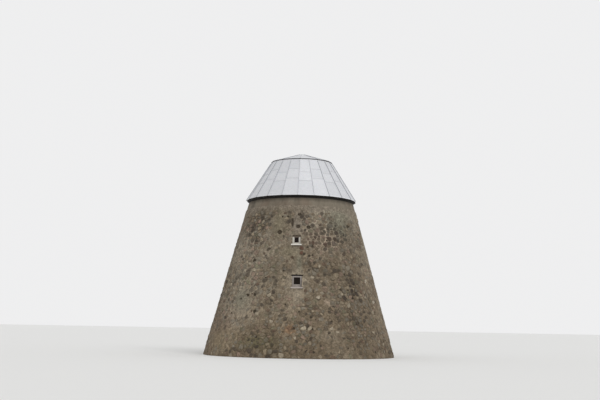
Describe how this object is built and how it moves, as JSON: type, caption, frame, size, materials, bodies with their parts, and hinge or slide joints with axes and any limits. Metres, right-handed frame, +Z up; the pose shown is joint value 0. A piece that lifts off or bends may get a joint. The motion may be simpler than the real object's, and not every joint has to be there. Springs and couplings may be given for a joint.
{
  "type": "round stone tower of a windmill without sails",
  "caption": "Tapered round fieldstone windmill tower with a steep seamed metal roof, two small windows front and back, and a plank door at the back.",
  "frame": {"origin": "on the ground at the tower's axis", "axes": "+Z up along the tower's axis, -Y out through the two windows of the pictured side, +Y out through the doorway, +X to the right seen from the front"},
  "size_m": [10.6636, 10.6299, 11.5342],
  "materials": {
    "fieldstone": "rough laid fieldstone in lime mortar",
    "ring_concrete": "smooth rendered band",
    "floor_concrete": "trowelled slab",
    "threshold_stone": "worn stone",
    "sill_painted": "light painted sheet and board",
    "beam_timber": "sawn timber",
    "floor_timber": "sawn boards",
    "roof_timber": "sawn timber",
    "dark_timber": "weathered dark timber",
    "frame_grey": "greyed paint",
    "frame_white": "white paint",
    "door_timber": "weathered planks",
    "pane_glass": "dark glass",
    "black_iron": "forged, black",
    "roof_metal": "weathered galvanised sheet",
    "seam_metal": "weathered galvanised sheet",
    "drip_metal": "newer galvanised sheet",
    "rim_metal": "dark sheet"
  },
  "bodies": {
    "root": {"front_wall": "fieldstone", "front_right_wall": "fieldstone", "right_wall": "fieldstone", "back_right_wall": "fieldstone", "back_wall": "fieldstone", "door_pier_right": "fieldstone", "door_pier_left": "fieldstone", "back_left_wall": "fieldstone", "left_wall": "fieldstone", "front_left_wall": "fieldstone", "ring_beam": "ring_concrete", "ground_floor": "floor_concrete", "first_floor_beams": "beam_timber", "first_floor_boards": "floor_timber", "second_floor_beams": "beam_timber", "second_floor_boards": "floor_timber", "front_lower_frame": "frame_grey", "front_upper_frame": "frame_white", "back_lower_frame": "frame_grey", "back_upper_frame": "frame_white", "window_panes": "pane_glass", "window_sills": "sill_painted", "window_lintels": "dark_timber", "door_lintel": "dark_timber", "threshold": "threshold_stone", "door_frame": "door_timber", "door_leaf": "door_timber", "door_hinges": "black_iron", "door_latch": "black_iron", "wall_plate": "roof_timber", "rafters": "roof_timber", "upper_curb": "roof_timber", "roof_boarding": "roof_timber", "eave_boards": "dark_timber", "roof_sheets": "roof_metal", "standing_seams": "seam_metal", "drip_edge": "drip_metal", "rim_apron": "rim_metal", "cap_rafters": "roof_timber", "king_block": "roof_timber", "cap_boarding": "roof_timber", "cap_sheets": "roof_metal", "cap_seams": "seam_metal", "apex_cap": "roof_metal"}
  },
  "joints": []
}
